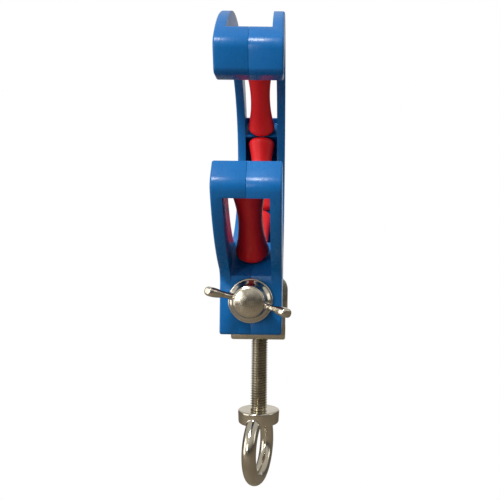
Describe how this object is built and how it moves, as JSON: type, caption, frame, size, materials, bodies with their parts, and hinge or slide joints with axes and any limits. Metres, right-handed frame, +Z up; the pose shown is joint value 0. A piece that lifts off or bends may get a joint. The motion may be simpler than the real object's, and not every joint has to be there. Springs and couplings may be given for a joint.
{
  "type": "cable guide ring with clamp",
  "caption": "Open ring with hourglass rollers that guides a cable, on a swivelling steel C-clamp tightened by an eye bolt and a wing screw.",
  "frame": {"origin": "middle of the fixed jaw's gripping face, on the clamp screw's axis", "axes": "+Z up along the clamp screw, X along the guided cable, -Y towards the ring's mouth and the wing screw"},
  "size_m": [0.036, 0.133, 0.2492],
  "materials": {
    "blue_plastic": "semi-gloss moulded",
    "red_plastic": "satin moulded",
    "axle_steel": "drawn",
    "zinc_steel": "zinc plated",
    "sleeve_steel": "drawn",
    "fibre": "matt",
    "stainless_cast": "polished cast",
    "stainless_turned": "turned",
    "stainless_bent": "satin, tumbled"
  },
  "bodies": {
    "clamp": {"clamp_frame": "stainless_bent", "friction_washer": "fibre"},
    "ring_frame": {"shell_left": "blue_plastic", "shell_right": "blue_plastic", "shell_screws": "zinc_steel", "shell_nuts": "zinc_steel", "pivot_sleeve": "sleeve_steel", "axle_upper": "axle_steel", "axle_middle": "axle_steel", "axle_lower": "axle_steel", "axle_jaw": "axle_steel"},
    "wing_washer": {"wing_washer": "stainless_turned"},
    "wing_screw": {"wing_screw": "stainless_cast"},
    "pressure_pad": {"pressure_pad": "stainless_turned"},
    "eye_bolt": {"eye_bolt": "stainless_cast", "pad_snap_ring": "zinc_steel"},
    "roller_upper": {"roller_upper": "red_plastic"},
    "roller_middle": {"roller_middle": "red_plastic"},
    "roller_lower": {"roller_lower": "red_plastic"},
    "roller_jaw": {"roller_jaw": "red_plastic"}
  },
  "joints": [
    {"name": "ring_swivel", "type": "hinge", "parent": "clamp", "child": "ring_frame", "pos_m": [0, -0.054, -0.0074], "axis": [0, 1, 0], "range_deg": [-90, 90]},
    {"name": "wing_screw_travel", "type": "slide", "parent": "clamp", "child": "wing_washer", "axis": [0, 1, 0], "range_m": [-0.00375, 0]},
    {"name": "wing_screw_turn", "type": "hinge", "parent": "wing_washer", "child": "wing_screw", "pos_m": [0, -0.079, -0.0074], "axis": [0, 1, 0], "range_deg": [-1081, 1]},
    {"name": "clamp_screw_travel", "type": "slide", "parent": "clamp", "child": "pressure_pad", "axis": [0, 0, 1], "range_m": [-0.00525, 0.0105]},
    {"name": "clamp_screw_turn", "type": "hinge", "parent": "pressure_pad", "child": "eye_bolt", "pos_m": [0, 0, -0.0156], "axis": [0, 0, 1], "range_deg": [-1261, 2521]},
    {"name": "roller_upper_spin", "type": "hinge", "parent": "ring_frame", "child": "roller_upper", "pos_m": [0, -0.02225, 0.10431], "axis": [0, -0.7826, 0.6225], "continuous": true},
    {"name": "roller_middle_spin", "type": "hinge", "parent": "ring_frame", "child": "roller_middle", "pos_m": [0, -0.003, 0.0644], "axis": [0, 0, 1], "continuous": true},
    {"name": "roller_lower_spin", "type": "hinge", "parent": "ring_frame", "child": "roller_lower", "pos_m": [0, -0.02225, 0.02449], "axis": [0, 0.7826, 0.6225], "continuous": true},
    {"name": "roller_jaw_spin", "type": "hinge", "parent": "ring_frame", "child": "roller_jaw", "pos_m": [0, -0.08485, 0.02828], "axis": [0, 0.7604, -0.6494], "continuous": true}
  ],
  "couplings": [
    {"joint": "wing_screw_turn", "follows": "wing_screw_travel", "rad_per_m": 5026.5},
    {"joint": "clamp_screw_turn", "follows": "clamp_screw_travel", "rad_per_m": 4188.8}
  ]
}
